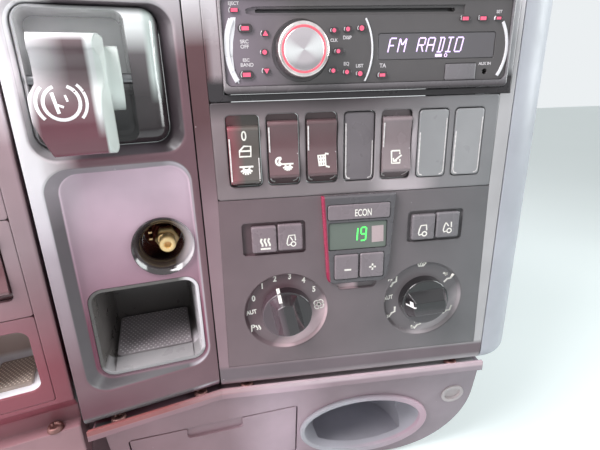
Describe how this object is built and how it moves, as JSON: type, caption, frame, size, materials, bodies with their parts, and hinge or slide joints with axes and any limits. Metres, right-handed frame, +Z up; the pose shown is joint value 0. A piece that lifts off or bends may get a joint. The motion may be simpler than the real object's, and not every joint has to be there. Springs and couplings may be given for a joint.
{
  "type": "truck dashboard centre console",
  "caption": "Centre console of a truck's dashboard with radio, switch row, climate controls, parking brake lever, tray and cup niche on a box carrier.",
  "frame": {"origin": "middle of the four bolts in the rear flange of the carrier, on the flange's rear face", "axes": "+X to the right as the driver sees the console, +Y into the dashboard, +Z up"},
  "size_m": [0.445, 0.2105, 0.425],
  "materials": {
    "carrier_black": "satin moulded",
    "frame_grey": "fine grained",
    "column_mauve": "satin, dusty",
    "cheek_grey": "fine grained",
    "panel_mauve": "fine grained",
    "insert_dark": "fine grained",
    "switch_dark": "satin",
    "gloss_black": "polished",
    "lever_mauve": "satin gloss",
    "radio_black": "polished",
    "bezel_grey": "satin",
    "display_dark": "polished",
    "knob_metal": "spun",
    "key_red": "lit",
    "trim_chrome": "polished",
    "case_steel": "plated",
    "pin_steel": "turned",
    "socket_brass": "worn",
    "mat_rubber": "dimpled",
    "niche_grey": "satin",
    "display_green": "smoked"
  },
  "bodies": {
    "console": {"carrier": "carrier_black", "centre_frame": "frame_grey", "right_cheek": "cheek_grey", "column_housing": "column_mauve", "brake_housing": "gloss_black", "brake_pin": "pin_steel", "socket_ring": "gloss_black", "socket_fitting": "socket_brass", "tray_bin": "column_mauve", "tray_mat": "mat_rubber", "radio_surround": "insert_dark", "radio_case": "case_steel", "radio_bezel": "bezel_grey", "radio_face": "radio_black", "radio_display": "display_dark", "radio_door": "bezel_grey", "radio_knob": "knob_metal", "radio_keys": "key_red", "radio_trim": "trim_chrome", "switch_panel": "insert_dark", "switch_rocker_1": "switch_dark", "switch_rocker_2": "switch_dark", "switch_rocker_3": "switch_dark", "switch_blank_4": "switch_dark", "switch_rocker_5": "switch_dark", "switch_blank_6": "switch_dark", "switch_blank_7": "switch_dark", "climate_panel": "insert_dark", "fan_dial": "switch_dark", "air_dial": "switch_dark", "display_pod": "gloss_black", "econ_key": "switch_dark", "temp_keys": "switch_dark", "climate_display": "display_green", "vent_keys_left": "switch_dark", "vent_keys_right": "switch_dark", "lower_panel": "panel_mauve", "cup_niche": "niche_grey", "round_plug": "panel_mauve", "wing_frame": "column_mauve", "wing_blank": "insert_dark", "wing_plate": "insert_dark", "wing_switch": "switch_dark", "wing_tray": "column_mauve", "wing_mat": "mat_rubber"},
    "brake_lever": {"brake_lever": "lever_mauve"},
    "ashtray": {"ashtray_lid": "panel_mauve", "ashtray_bin": "case_steel"}
  },
  "joints": [
    {"name": "brake_lever_swing", "type": "hinge", "parent": "console", "child": "brake_lever", "pos_m": [-0.16832, -0.17423, 0.127], "axis": [-0.9588, -0.284, 0], "range_deg": [0, 50]},
    {"name": "ashtray_tilt", "type": "hinge", "parent": "console", "child": "ashtray", "pos_m": [-0.11835, -0.14187, -0.20645], "axis": [0.9925, 0.1219, 0], "range_deg": [0, 50]}
  ]
}
